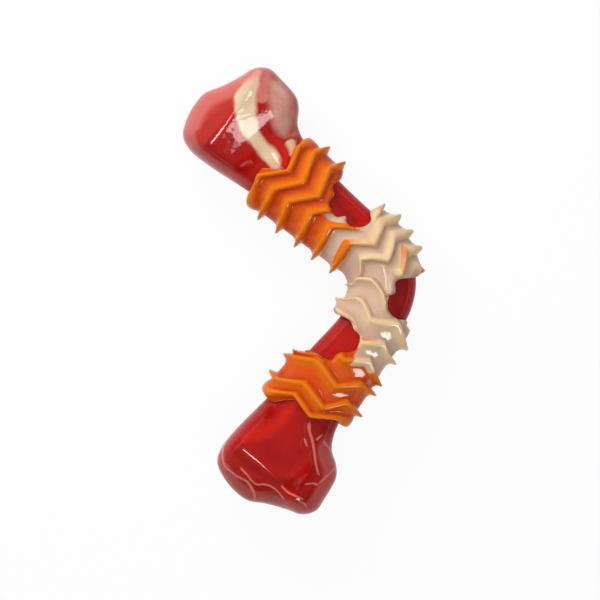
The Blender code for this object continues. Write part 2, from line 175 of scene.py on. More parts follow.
FLOOR_ORANGE = {
    3: ((-20, 1), (-6, 1), (-1, 0.1), (20, 0.15)),
    4: ((-20, 0.1), (20, 0)),
    **{k: ALL_CREAM for k in range(5, 11)},
    11: ((-20, 1), (0.5, 1), (4, 0), (20, 0)),
    12: ((-20, 1), (12, 1), (15, 0.45), (20, 0.6)),
}
# The crests' colour sets in at this height share, over this range of it.
CREST_COLOUR = (0.15, 0.3)
# An orange thread just on the elbow side of one crest: ridge, reach across, reach beyond the
# crest, width of its edges, and its share of orange at w = 0 and the change of that with w.
THREAD = (11, (-0.8, 8.0), (0.3, 2.5))
THREAD_EDGE = 0.5
THREAD_ORANGE = (0.6, -0.03)

# Marbling and painted shade in the core, in plan millimetres: each point is (x, y, half width). The
# dull bands are spots with less gloss than the rest.
CREAM_BANDS = (
    ((-12.6, 86.9, 1.2), (-14.4, 83.6, 2.2), (-16.7, 80.3, 3.0), (-19.0, 75.4, 4.1),
     (-19.2, 69.9, 4.0), (-18.6, 65.6, 3.4), (-17.3, 61.2, 2.8), (-14.5, 56.7, 2.6),
     (-11.1, 52.1, 3.1), (-10.1, 47.7, 1.9), (-9.7, 45.1, 1.7)),
    ((-3.3, 58.0, 2.1), (-2.7, 55.4, 1.8), (-2.8, 52.5, 1.1)),
)
PINK_BANDS = (
    ((-6.9, 82.2, 1.7), (-6.4, 79.2, 3.0), (-5.7, 74.9, 4.1), (-5.1, 70.5, 4.2), (-5.5, 66.3, 3.6),
     (-5.7, 62.1, 2.2), (-5.6, 60.0, 0.8)),
)
BLUSH_BANDS = (
    ((-8.9, 85.4, 1.5), (-9.5, 83.7, 1.7), (-11.8, 79.7, 2.1), (-12.6, 74.7, 2.1)),
    ((-11.7, 50.4, 0.8), (-11.4, 49.5, 0.6)),
    ((-5.7, 59.3, 0.4), (0.1, 61.5, 0.6)),
)
BRIGHT_BANDS = (
    ((-12.0, -43.5, 1.6), (-14.4, -46.3, 1.8), (-19.4, -51.1, 2.4), (-25.8, -54.2, 2.4),
     (-33.6, -56.4, 1.4)),
    ((-32.6, 60.6, 0.6), (-27.7, 67.1, 1.6), (-21.3, 72.8, 1.6)),
    ((-9.8, 60.4, 1.3), (-7.6, 57.6, 1.9), (-5.9, 53.6, 1.9), (-5.9, 49.0, 1.9)),
)
# Darker red lines: the one round the elbow is painted shade; the others run just beyond the lower
# knuckle's crest and in the upper arm's window.
SHADE_AND_DEEP_BANDS = (
    ((-37.7, -59.6, 0.8), (-32.3, -66.2, 1.4), (-25.3, -71.5, 1.4), (-16.7, -75.4, 1.2),
     (-8.4, -75.5, 0.6)),
    ((35.5, -0.4, 1.5), (33.7, -4.8, 2.2), (31.4, -9.1, 2.6), (31.8, -13.8, 1.8)),
    ((11.9, 37.2, 1.0), (13.8, 30.8, 1.4), (19.3, 23.9, 1.2)),
)
DULL_BANDS = (
    ((-18.2, -77.8, 2.8), (-13.5, -74.3, 2.8), (-8.6, -69.8, 2.2)),
    ((-25.0, 49.8, 2.0), (-17.8, 52.8, 2.0)),
)
# Thin veins in three layers, so that the veins of one layer stay clear of each other.
VEINS = (
    (((-39.5, -55.2, 0.3), (-42.1, -58.7, 0.4), (-42.7, -63.1, 0.4), (-42.1, -66.2, 0.4),
      (-40.1, -68.2, 0.4), (-37.3, -70.6, 0.4), (-34.2, -72.6, 0.4), (-32.6, -75.4, 0.5),
      (-31.7, -78.1, 0.5), (-31.8, -80.4, 0.4)),
     ((-7.5, -52.9, 0.7), (-7.7, -55.9, 0.4), (-6.9, -59.4, 0.4), (-6.6, -63.9, 0.4),
      (-6.4, -68.4, 0.3), (-5.8, -73.3, 0.3)),
     ((-20.9, -75.1, 0.2), (-18.3, -78.4, 0.3), (-15.5, -80.2, 0.3), (-13.0, -82.0, 0.3))),
    (((-35.8, -66.8, 0.2), (-33.2, -70.5, 0.3), (-31.9, -72.8, 0.3), (-30.2, -74.3, 0.3),
      (-27.2, -74.3, 0.3), (-24.3, -75.5, 0.3), (-22.3, -77.6, 0.3), (-20.4, -80.8, 0.3)),
     ((-11.3, -76.0, 0.2), (-7.6, -76.3, 0.3), (-6.7, -77.2, 0.4)),
     ((-2.5, -60.6, 0.3), (-2.0, -62.1, 0.4), (-0.6, -63.8, 0.3), (-0.1, -66.1, 0.3))),
    (((-14.6, -82.5, 0.2), (-12.5, -83.9, 0.3), (-11.9, -85.4, 0.2)),
     ((-6.1, -76.7, 0.2), (-2.5, -74.4, 0.3), (1.2, -71.8, 0.3)),
     ((-5.1, -59.6, 0.4), (-2.7, -58.3, 0.3)),
     ((-9.8, -58.3, 0.3), (-9.6, -60.2, 0.3), (-9.0, -61.8, 0.3))),
)
VEIN_REACH = 2.0
# Stands for a place far from every band or vein.
FAR = 9.0
# The core's rim carries a painted pale sheen, a painted reflection of the light from the upper
# left,
# with a strength and over a width: (strength, width) on the shaft and rows of (facing, strength,
# width) on the knuckles, where both follow how far the rim faces the upper left. The one gives way
# to the other over a length, given last, beyond the collar.
PAINTED_SHEEN_SHAFT = (0.1, 2.5)
PAINTED_SHEEN_UPPER = ((-0.4, 0.65, 3.6), (0.4, 0.95, 8.6))
PAINTED_SHEEN_LOWER = ((-0.3, 0.55, 6.5), (0.5, 0.5, 6.0), (0.9, 0.12, 3.0))
PAINTED_SHEEN_START = 12.0

# Mesh divisions
SHAFT_RUNGS = 110
FAN_RAYS = 96
RIB_STEPS = 30
SLEEVE_COLUMNS = 264
GAP_ROWS = 20
LIP_ROWS = 7
BORE_ROWS = 60


def ease(x):
    x = np.clip(x, 0.0, 1.0)
    return x * x * (3 - 2 * x)


def smooth(table, x):
    """Value of a smooth curve through the table's points."""
    xs, ys = np.array(table, float).T
    slopes = np.diff(ys) / np.diff(xs)
    a, b = slopes[:-1], slopes[1:]
    inner = np.where(a * b > 0, 2 * a * b / np.where(a + b == 0, 1, a + b), 0.0)
    tangents = np.concatenate([[0.0], inner, [0.0]])
    x = np.clip(x, xs[0], xs[-1])
    i = np.clip(np.searchsorted(xs, x, side="right") - 1, 0, len(xs) - 2)
    h = xs[i + 1] - xs[i]
    t = (x - xs[i]) / h
    return (ys[i] * (1 + 2 * t) * (1 - t) ** 2 + tangents[i] * h * t * (1 - t) ** 2
            + ys[i + 1] * t * t * (3 - 2 * t) + tangents[i + 1] * h * t * t * (t - 1))


def soft_min(a, b, reach):
    return np.minimum(a, b) - np.maximum(reach - np.abs(a - b), 0) ** 2 / (4 * reach)


def plan(s, w):
    """Plan point at distance s along the centreline and w to the outer side of it."""
    side = np.where(s < 0, -1.0, 1.0)
    turn = np.minimum(np.abs(s) / BEND_RADIUS, BEND_HALF)
    run = np.maximum(0.0, np.abs(s) - BEND_RADIUS * BEND_HALF)
    nx, ny = np.cos(turn), np.sin(turn)
    x = BEND_CENTRE_X + (BEND_RADIUS + w) * nx - run * ny - BOX_MIDDLE_X
    return x, side * ((BEND_RADIUS + w) * ny + run * nx)


def through(points, steps, closed=False):
    """Closely spaced points of a centripetal curve through the given points."""
    p = [np.array(q, float) for q in points]
    p = [p[-1]] + p + p[:2] if closed else [2 * p[0] - p[1]] + p + [2 * p[-1] - p[-2]]
    out = []
    for k in range(1, len(p) - 2):
        a, b, c, d = p[k - 1:k + 3]
        t0, t1 = 0.0, np.linalg.norm(b - a) ** 0.5
        t2 = t1 + np.linalg.norm(c - b) ** 0.5
        t3 = t2 + np.linalg.norm(d - c) ** 0.5
        for t in np.linspace(t1, t2, steps, endpoint=False):
            e = ((t1 - t) * a + (t - t0) * b) / (t1 - t0)
            f = ((t2 - t) * b + (t - t1) * c) / (t2 - t1)
            g = ((t3 - t) * c + (t - t2) * d) / (t3 - t2)
            h = ((t2 - t) * e + (t - t0) * f) / (t2 - t0)
            i = ((t3 - t) * f + (t - t1) * g) / (t3 - t1)
            out.append(((t2 - t) * h + (t - t1) * i) / (t2 - t1))
    if not closed:
        out.append(p[-2])
    return np.array(out)


def mirrored_outline():
    """The core's half outline with its neighbours across the elbow, so that it passes smoothly."""
    first, last = CORE_OUTLINE[1], CORE_OUTLINE[-2]
    whole = through(((-first[0], first[1]),) + CORE_OUTLINE + ((-last[0], last[1]),), 12)
    return whole[12:-12]


OUTLINE = mirrored_outline()
OUTER_SIDE = OUTLINE[:np.argmax(OUTLINE[:, 0])]
INNER_SIDE = OUTLINE[np.argmax(OUTLINE[:, 0]):][::-1]


def core_widths(s):
    """The core's distance from the centreline to its outer and inner sides."""
    outer = np.interp(np.abs(s), OUTER_SIDE[:, 0], OUTER_SIDE[:, 1])
    return outer, -np.interp(np.abs(s), INNER_SIDE[:, 0], INNER_SIDE[:, 1])


def core_middle(s):
    """The middle of the core's section, led to the middle of the knuckle beyond the collar."""
    outer, inner = core_widths(s)
    lead = ease((np.abs(s) - COLLAR) / (KNUCKLE_CENTRE[0] - COLLAR))
    return (outer - inner) / 2 * (1 - lead) + KNUCKLE_CENTRE[1] * lead


def rib(edge, centre, flatness):
    """Points (s, w, z) from silhouette edges up to the crest, one row of points for each edge."""
    k = np.arange(RIB_STEPS + 1) / RIB_STEPS
    flatness = np.reshape(flatness, (-1, 1))
    across = np.cos(np.pi / 2 * k)[None] ** (1 - EDGE_CROWDING * flatness)
    across[:, -1] = 0.0
    reach = edge - centre
    length = np.linalg.norm(reach, axis=1)[:, None]
    towards_end, outwards = (reach[:, k, None] / length for k in (0, 1))
    outer_share = ease(0.5 + 0.5 * outwards)
    side_round = SIDE_ROUND_INNER + (SIDE_ROUND_OUTER - SIDE_ROUND_INNER) * outer_share
    round_width = side_round + (length - side_round) * ease(towards_end)
    full = 1 / ROUND_OVERSHOOT
    run = length * (1 - across) / (ROUND_OVERSHOOT * round_width)
    run = np.maximum(soft_min(run, full, CREST_SOFTNESS), 0.0)
    rounded = np.sqrt(1 - (1 - run) ** 2) / math.sqrt(1 - (1 - full) ** 2)
    oval = np.sqrt(np.maximum(1 - across ** 2, 0))
    point = centre[:, None] + reach[:, None] * across[..., None]
    up = oval + (rounded - oval) * flatness
    lead = ease((point[..., 0] - COLLAR) / (KNUCKLE_CENTRE[0] - COLLAR))
    crown = CROWN * np.maximum(point[..., 1] - CROWN_START, 0) ** 2 * lead
    z = soft_min((smooth(CORE_THICKNESS, point[..., 0]) - crown) * up, REST_HEIGHT, FLAT_SOFTNESS)
    z[:, 0] = 0.0
    return np.concatenate([point, z[..., None]], axis=2)


def place(points):
    """World positions in metres of points (s, w, z)."""
    x, y = plan(points[..., 0], points[..., 1])
    return np.stack([x, y, points[..., 2] + REST_HEIGHT], axis=-1) * MM


class Shell:
    """Vertices shared by position, and the faces between them."""

    def __init__(self):
        self.verts = []
        self.index = {}
        self.faces = []

    def add(self, row):
        ids = []
        for point in row:
            key = tuple(np.round(point, 7))
            if key not in self.index:
                self.index[key] = len(self.verts)
                self.verts.append(point)
            ids.append(self.index[key])
        return ids

    def face(self, *ids):
        ring = [v for k, v in enumerate(ids) if v != ids[k - 1]]
        if len(ring) > 2:
            self.faces.append(ring)

    def strips(self, rows, flip):
        """Quads between each row of ids and the next."""
        for a, b in zip(rows, rows[1:]):
            for k in range(len(a) - 1):
                quad = (a[k], b[k], b[k + 1], a[k + 1])
                self.face(*(quad[::-1] if flip else quad))


def new_object(name, verts, faces, collection):
    mesh = bpy.data.meshes.new(name)
    mesh.from_pydata([tuple(v) for v in verts], [], faces)
    obj = bpy.data.objects.new(name, mesh)
    collection.objects.link(obj)
    return obj


def store(mesh, name, values):
    """Keeps one number per vertex for the materials."""
    layer = mesh.attributes.new(name, "FLOAT", "POINT")
    layer.data.foreach_set("value", np.asarray(values, np.float32))


def positions(mesh):
    co = np.empty(len(mesh.vertices) * 3)
    mesh.vertices.foreach_get("co", co)
    return co.reshape(-1, 3)


def silhouette(points):
    """How deep plan points lie in the core's outline, and how far it faces the upper left there."""
    half = np.stack(plan(OUTLINE[:, 0], OUTLINE[:, 1]), axis=1)
    ring = np.concatenate([half, half[::-1] * (1, -1)])
    along = np.roll(ring, -2, axis=0) - np.roll(ring, 2, axis=0)
    outward = np.stack([along[:, 1], -along[:, 0]], axis=1)
    outward /= np.linalg.norm(along, axis=1)[:, None]
    facing = outward @ np.array(photo_direction(*UPPER_LEFT, math.pi / 2)[:2])
    tree = KDTree(len(ring))
    for k, (x, y) in enumerate(ring):
        tree.insert((x, y, 0), k)
    tree.balance()
    found = [tree.find((x, y, 0)) for x, y in points]
    return np.array([f[2] for f in found]), facing[[f[1] for f in found]]


def core_mesh(collection):
    """The core as ribs from its silhouette to its crest line, the same above and below."""
    shell = Shell()
    middle_s = KNUCKLE_CENTRE[0]
    s = np.linspace(-middle_s, middle_s, 2 * SHAFT_RUNGS + 1)
    q = np.abs(s)
    outer, inner = core_widths(q)
    centre = np.stack([q, core_middle(q)], axis=1)
    flatness = ease((q - FLAT_START) / (FLAT_END - FLAT_START))
    upper = rib(np.stack([q, outer], axis=1), centre, flatness)
    lower = rib(np.stack([q, -inner], axis=1), centre, flatness)
    rungs = np.concatenate([upper, lower[:, -2::-1]], axis=1)
    rungs[..., 0] = s[:, None]

    start = int(np.sum(OUTER_SIDE[:, 0] < middle_s))
    stop = len(OUTLINE) - int(np.sum(INNER_SIDE[:, 0] < middle_s))
    outer, inner = core_widths(middle_s)
    path = np.concatenate([[(middle_s, outer)], OUTLINE[start:stop], [(middle_s, -inner)]])
    run = np.concatenate([[0], np.cumsum(np.linalg.norm(np.diff(path, axis=0), axis=1))])
    d = np.linspace(0, run[-1], FAN_RAYS + 1)
    edge = np.stack([np.interp(d, run, path[:, 0]), np.interp(d, run, path[:, 1])], axis=1)
    rays = rib(edge, np.tile(np.array(KNUCKLE_CENTRE), (len(edge), 1)), np.ones(len(edge)))

    for below in (1, -1):
        turn = np.array([1, 1, below])
        shell.strips([shell.add(place(row * turn)) for row in rungs], below < 0)
        for end in (1, -1):
            turn = np.array([end, 1, below])
            shell.strips([shell.add(place(ray * turn)) for ray in rays], (end < 0) != (below < 0))
    return new_object("core_moulding", shell.verts, shell.faces, collection)


def nearest_on(points, polyline):
    """Signed distance from the points to a polyline, and the width there, less any overshoot."""
    best = np.full(len(points), 1e9)
    signed = np.zeros(len(points))
    width = np.zeros(len(points))
    last = len(polyline) - 2
    for k, (a, b) in enumerate(zip(polyline, polyline[1:])):
        along = b[:2] - a[:2]
        length = np.linalg.norm(along)
        rel = points - a[:2]
        t = rel @ along / length ** 2
        over = np.where((k == 0) & (t < 0), -t, np.where((k == last) & (t > 1), t - 1, 0)) * length
        t = np.clip(t, 0, 1)
        near = rel - t[:, None] * along
        dist = np.linalg.norm(near, axis=1)
        cross = along[0] * rel[:, 1] - along[1] * rel[:, 0]
        closer = dist < best
        best = np.where(closer, dist, best)
        signed = np.where(closer, np.sign(cross) * dist, signed)
        width = np.where(closer, a[2] + (b[2] - a[2]) * t - over, width)
    return signed, width


def band_depth(points, bands):
    """How far inside the nearest band each point is, negative outside."""
    depth = np.full(len(points), -FAR)
    for band in bands:
        signed, width = nearest_on(points, through(band, 6))
        depth = np.maximum(depth, width - np.abs(signed))
    return depth


def beyond_elbow(points):
    """How far along the straight arms the plan points lie, negative round the elbow."""
    along = (points[:, 0] + BOX_MIDDLE_X - BEND_CENTRE_X) * -math.sin(BEND_HALF)
    return along + np.abs(points[:, 1]) * math.cos(BEND_HALF)


def marble(obj):
    """Stores where the core's marbling bands and veins run, and where its painted sheen and painted
    shade lie.
    """
    mesh = obj.data
    points = positions(mesh)[:, :2] / MM
    depth, facing = silhouette(points)
    s = beyond_elbow(points) + BEND_RADIUS * BEND_HALF
    on_knuckle = ease((s - COLLAR) / PAINTED_SHEEN_START)
    upper = points[:, 1] > 0
    painted_sheen = []
    for k in (1, 2):
        at_upper, at_lower = (np.interp(facing, [r[0] for r in rows], [r[k] for r in rows])
                              for rows in (PAINTED_SHEEN_UPPER, PAINTED_SHEEN_LOWER))
        knuckle = np.where(upper, at_upper, at_lower)
        painted_sheen.append(PAINTED_SHEEN_SHAFT[k - 1] + (knuckle - PAINTED_SHEEN_SHAFT[k - 1]) * on_knuckle)
    store(mesh, "painted_sheen", painted_sheen[0])
    store(mesh, "rim", depth / painted_sheen[1])
    # Places the painted reflection on the upper knuckle's end, by distance from the knuckle's
    # middle.
    store(mesh, "end", np.where(upper, s - KNUCKLE_CENTRE[0], -FAR))
    for name, bands in (("cream", CREAM_BANDS), ("pink", PINK_BANDS), ("blush", BLUSH_BANDS),
                        ("bright", BRIGHT_BANDS), ("deep", SHADE_AND_DEEP_BANDS), ("dull", DULL_BANDS)):
        store(mesh, name, band_depth(points, bands))
    for n, layer in enumerate(VEINS):
        side = np.full(len(points), FAR)
        size = np.full(len(points), -1.0)
        for vein in layer:
            signed, width = nearest_on(points, through(vein, 6))
            near = (np.abs(signed) < np.abs(side)) & (np.abs(signed) < VEIN_REACH)
            side = np.where(near, signed, side)
            size = np.where(near, width, size)
        store(mesh, f"vein_side_{n}", side)
        store(mesh, f"vein_size_{n}", size)


def ridge_lines():
    """Crest positions and height shares by w, with the corners of the zigzags softened."""
    w, reach = (np.arange(-r, r + TABLE_STEP / 10, TABLE_STEP) for r in (TABLE_REACH, CORNER_REACH))
    kernel = np.exp(-0.5 * (reach / CORNER_SOFTNESS) ** 2)
    kernel /= kernel.sum()
    pad = len(kernel) // 2
    lines = []
    for nodes in RIDGES:
        ws, ss, shares = np.array(nodes, float).T
        rows = []
        for values in (ss, shares):
            row = np.interp(w, ws, values)
            rows.append(np.convolve(np.pad(row, pad, mode="edge"), kernel, mode="valid"))
        lines.append(rows)
    return w, lines


RIDGE_W, RIDGE_LINES = ridge_lines()


def ridge_at(k, w):
    return np.interp(w, RIDGE_W, RIDGE_LINES[k][0]), np.interp(w, RIDGE_W, RIDGE_LINES[k][1])


def orange_share(table, k, w):
    if k not in table:
        return np.ones_like(w)
    ws, values = np.array(table[k], float).T
    return np.interp(w, ws, values)


def sleeve_rows(angle):
    """The sleeve's outer rows, from the upper end to the lower one.

    Each has s, height share, share of orange and the painted shade of the crease, all over the
    columns.
    """
    tip = TIP_REACH * np.cos(angle)
    ones = np.ones_like(tip)
    turn = np.linspace(math.pi / 2, 0, LIP_ROWS)
    blunt = 1 + (BLUNT_BREADTH - 1) * ease((np.abs(tip) - BLUNT_START) / (BLUNT_END - BLUNT_START))
    pointed = 1 / (1 + TIP_NARROWING * np.cos(angle) ** TIP_POWER)
    rows = []

    def lip(k, sign, turns):
        s, share = ridge_at(k, tip)
        for a in turns:
            high = 1 - LIP_DROP * (1 - math.cos(a))
            rows.append((s + sign * LIP_LENGTH * blunt * math.sin(a), high * share, ones, 0 * ones))
    lip(0, 1, turn)
    last = len(RIDGES) - 1
    for k in range(last):
        s0, h0 = ridge_at(k, tip)
        s1, h1 = ridge_at(k + 1, tip)
        before = STEEP_FLANK if k <= ELBOW_GAP else RAMP_FLANK
        after = STEEP_FLANK if k >= ELBOW_GAP else RAMP_FLANK
        c0, c1 = orange_share(CREST_ORANGE, k, tip), orange_share(CREST_ORANGE, k + 1, tip)
        floor = orange_share(FLOOR_ORANGE, k, tip)
        for n in range(1, GAP_ROWS + 1):
            x = 0.5 - 0.5 * math.cos(math.pi * n / GAP_ROWS)
            width = np.abs(s1 - s0)
            breadth0, breadth1 = (blunt if r in BLUNT_RIDGES else pointed for r in (k, k + 1))
            a = h0 * smooth(before, x * width / breadth0)
            b = h1 * smooth(after, (1 - x) * width / breadth1)
            high = -soft_min(-a, -b, FLANK_SOFTNESS)
            on_crest = ease((np.where(a > b, a, b) - CREST_COLOUR[0]) / CREST_COLOUR[1])
            orange = floor + (np.where(a > b, c0, c1) - floor) * on_crest
            s = s0 + (s1 - s0) * x
            ridge, (low, top), (near, far) = THREAD
            if k == ridge - 1:
                d = s - s1
                thread = ease((d - near) / THREAD_EDGE) * ease((far - d) / THREAD_EDGE)
                thread *= ease(tip - low) * ease(top - tip)
                orange = np.maximum(orange, thread * (THREAD_ORANGE[0] + THREAD_ORANGE[1] * tip))
            # Painted shade in the crease at the bottom of each steep flank, lifted where the orange
            # thread runs.
            steep = h0 * smooth(PAINTED_CREASE_SHADE, x * width) if k <= ELBOW_GAP else 0 * ones
            if k >= ELBOW_GAP:
                steep = np.maximum(steep, h1 * smooth(PAINTED_CREASE_SHADE, (1 - x) * width))
            if k == ridge - 1:
                steep = steep * (1 - thread)
            rows.append((s, np.clip(high, 0, 1), orange, steep))
    lip(last, -1, turn[::-1])
    return rows


def window_outline(outline):
    """A window's smoothed outline in plan millimetres, running anticlockwise."""
    curve = through(outline, 5, closed=True)
    ring = np.stack(plan(curve[:, 0], curve[:, 1]), axis=1)
    following = np.roll(ring, -1, axis=0)
    area = np.sum(ring[:, 0] * following[:, 1] - following[:, 0] * ring[:, 1])
    return ring if area > 0 else ring[::-1]


def outside_distance(points, ring):
    """Plan distance from the points to a closed outline, negative inside it."""
    best = np.full(len(points), 1e9)
    inside = np.zeros(len(points), bool)
    for a, b in zip(ring, np.roll(ring, -1, axis=0)):
        along = b - a
        rel = points - a
        t = np.clip(rel @ along / (along @ along + 1e-12), 0, 1)
        best = np.minimum(best, np.linalg.norm(rel - t[:, None] * along, axis=1))
        spans = (a[1] > points[:, 1]) != (b[1] > points[:, 1])
        cut = a[0] + (points[:, 1] - a[1]) * along[0] / (along[1] if along[1] else 1e-12)
        inside ^= spans & (points[:, 0] < cut)
    return np.where(inside, -best, best)


def sleeve_mesh(collection):
    """The sleeve as a closed grid of rows that follow its ridges' zigzag, with its windows cut."""
    angle = np.linspace(0, 2 * math.pi, SLEEVE_COLUMNS, endpoint=False)
    c, up = np.cos(angle), np.sin(angle)
    rows = sleeve_rows(angle)
    s = np.array([r[0] for r in rows])
    high = np.array([r[1] for r in rows])
    orange = np.array([r[2] for r in rows])
    crease_shade = np.array([r[3] for r in rows])

    def bore_at(s):
        outer, inner = core_widths(s)
        mid = core_middle(s)
        wide = np.where(c > 0, outer - mid, inner + mid) + GAP
        thick = smooth(CORE_THICKNESS, np.abs(s)) + GAP
        return np.stack([s, mid + wide * c, thick * up], axis=-1)

    q = np.abs(s)
    wide = np.where(c > 0, smooth(SLEEVE_OUTER, q), smooth(SLEEVE_INNER, q))
    rise = high * (RIDGE_FRONT + (RIDGE_SIDE - RIDGE_FRONT) * c * c)
    outer = np.stack([s, (wide + rise) * c, (smooth(SLEEVE_FRONT, q) + rise) * up], axis=-1)

    rings = [window_outline(w) for w in WINDOWS]
    flat = np.stack(plan(outer[..., 0], outer[..., 1]), axis=-1).reshape(-1, 2)
    depth = np.min([outside_distance(flat, ring) for ring in rings], axis=0).reshape(s.shape)
    rim = np.clip(depth / RIM_WIDTH, 0, 1)
    wall = RIM_WALL + (1 - RIM_WALL) * np.sqrt(1 - (1 - rim) ** 2)
    bore_under = bore_at(s)
    outer = bore_under + (outer - bore_under) * wall[..., None]

    ends = np.linspace(s[-1], s[0], BORE_ROWS + 1)
    bore = bore_at(ends)
    grid = place(np.concatenate([outer, bore]))
    count, columns = grid.shape[:2]
    verts = grid.reshape(-1, 3)
    ids = np.arange(count * columns).reshape(count, columns)
    below, right = np.roll(ids, 1, axis=0), np.roll(ids, 1, axis=1)
    corner = np.roll(below, 1, axis=1)
    faces = np.stack([corner, below, ids, right], axis=-1).reshape(-1, 4).tolist()
    sleeve = new_object("sleeve_moulding", verts, faces, collection)

    for n, ring in enumerate(rings):
        size = len(ring)
        low = (REST_HEIGHT - CUTTER_HALF_HEIGHT) * MM
        top = (REST_HEIGHT + CUTTER_HALF_HEIGHT) * MM
        ends = [(x * MM, y * MM, z) for z in (low, top) for x, y in ring]
        sides = [(k, (k + 1) % size, size + (k + 1) % size, size + k) for k in range(size)]
        caps = [list(range(size))[::-1], list(range(size, 2 * size))]
        cut = sleeve.modifiers.new(f"window_{n}", "BOOLEAN")
        cut.operation = "DIFFERENCE"
        cut.solver = "EXACT"
        cut.object = new_object(f"cutter_{n}", ends, caps + sides, collection)
    seen = sleeve.evaluated_get(bpy.context.evaluated_depsgraph_get())
    whole = bpy.data.meshes.new_from_object(seen)
    for cut in list(sleeve.modifiers):
        cutter = cut.object
        sleeve.modifiers.remove(cut)
        bpy.data.objects.remove(cutter)
    sleeve.data = whole

    tree = KDTree(len(verts))
    for k, v in enumerate(verts):
        tree.insert(v, k)
    tree.balance()
    near = np.array([tree.find(v.co)[1] for v in whole.vertices])
    bore_rows = np.zeros((len(bore), columns))
    store(whole, "height", np.concatenate([high, bore_rows]).reshape(-1)[near])
    store(whole, "orange", np.concatenate([orange, bore_rows + 0.5]).reshape(-1)[near])
    store(whole, "crease_shade", np.concatenate([crease_shade, bore_rows]).reshape(-1)[near])
    return sleeve


def srgb(r, g, b):
    """Linear colour of an 8-bit display colour."""
    return tuple(((v / 255 + 0.055) / 1.055) ** 2.4 for v in (r, g, b)) + (1.0,)


# Colours of the core. Two in brackets are the ends of a cloudy blend.
REDS = (srgb(162, 17, 15), srgb(186, 23, 17))
# The darker red is painted shade round the elbow, and a deeper red along the other dark bands.
RED_SWIRL, RED_SHADE_AND_DEEP, RED_BRIGHT = srgb(206, 30, 20), srgb(128, 14, 11), srgb(216, 34, 18)
# The end's pink and the rim's pink are a painted reflection of the light from the upper left.
END_SHEEN_PINK, RIM_SHEEN_PINK, VEIN_PINK = srgb(220, 84, 70), srgb(212, 128, 120), srgb(228, 128, 116)
BLUSH = srgb(226, 128, 118)
PALE_PINKS = (srgb(214, 178, 158), srgb(219, 148, 134))
CREAMS, CREAM_RIM = (srgb(235, 214, 177), srgb(224, 192, 160)), srgb(222, 150, 134)
# Colours of the sleeve: floors, crests, and the painted shade in the creases at the feet of steep
# flanks.
ORANGE_RUBBER = (srgb(214, 80, 12), srgb(224, 94, 13)), srgb(231, 121, 18), srgb(192, 52, 10)
CREAM_RUBBER = (srgb(214, 178, 153), srgb(220, 190, 165)), srgb(238, 209, 164), srgb(196, 154, 130)
# On both, in metres: the height of the grain, and how deep light goes into the surface.
GRAIN = 0.0002
SUBSURFACE_DEPTH = 0.002
# The gloss where a surface is seen straight on and where it is seen at a slant, and how much of
# it the dull spots lack.
GLOSS_FACING, GLOSS_SLANTING = 0.5, 0.04
DULLING = 0.92
# The floor's colour, and how much of it is plain white to the camera and in reflections.
PAPER, FLOOR_GLOW = 0.9, 0.93


class Graph:
    """A material's nodes, added one call at a time."""

    def __init__(self, name):
        self.material = bpy.data.materials.new(name)
        self.material.use_nodes = True
        self.tree = self.material.node_tree
        self.tree.nodes.clear()
        self.place = self.add("TexCoord", out="Object")

    def add(self, kind, inputs=(), out=0, **settings):
        node = self.tree.nodes.new("ShaderNode" + kind)
        for key, value in settings.items():
            setattr(node, key, value)
        for key, value in dict(inputs).items():
            socket = node.inputs[key]
            if isinstance(value, bpy.types.NodeSocket):
                self.tree.links.new(value, socket)
            else:
                socket.default_value = value
        return node.outputs[out]

    def field(self, name):
        return self.add("Attribute", out="Fac", attribute_name=name)

    def math(self, operation, a, b=0.0, c=0.0):
        return self.add("Math", {0: a, 1: b, 2: c}, operation=operation)

    def blend(self, factor, a, b):
        return self.add("Mix", {0: factor, 6: a, 7: b}, out=2, data_type="RGBA")

    def step(self, value, low, high):
        return self.add("MapRange", {0: value, 1: low, 2: high}, interpolation_type="SMOOTHSTEP")

    def noise(self, scale, detail, distortion=0.0):
        return self.add("TexNoise", {"Vector": self.place, "Scale": scale, "Detail": detail,
                                     "Distortion": distortion})

    def glossy(self, colour, grain, bump, rough, slant, ior, subsurface, radius, gloss=None):
        """Finishes the material as a grained surface that is less glossy at a slant."""
        normal = self.add("Bump", {"Strength": bump, "Distance": GRAIN, "Height": grain})
        roughness = self.add("MapRange", {0: grain, 3: rough[0], 4: rough[1]})
        facing = self.add("LayerWeight", {"Blend": 0.5}, out="Facing")
        shine = self.add("MapRange", {0: facing, 1: slant[0], 2: slant[1], 3: GLOSS_FACING,
                                      4: GLOSS_SLANTING})
        if gloss is not None:
            shine = self.math("MULTIPLY", shine, gloss)
        return self.finish(self.add("BsdfPrincipled", {
            "Base Color": colour, "Roughness": roughness, "Normal": normal, "IOR": ior,
            "Specular IOR Level": shine, "Subsurface Weight": subsurface,
            "Subsurface Radius": radius, "Subsurface Scale": SUBSURFACE_DEPTH}))

    def finish(self, shader):
        output = self.tree.nodes.new("ShaderNodeOutputMaterial")
        self.tree.links.new(shader, output.inputs["Surface"])
        return self.material


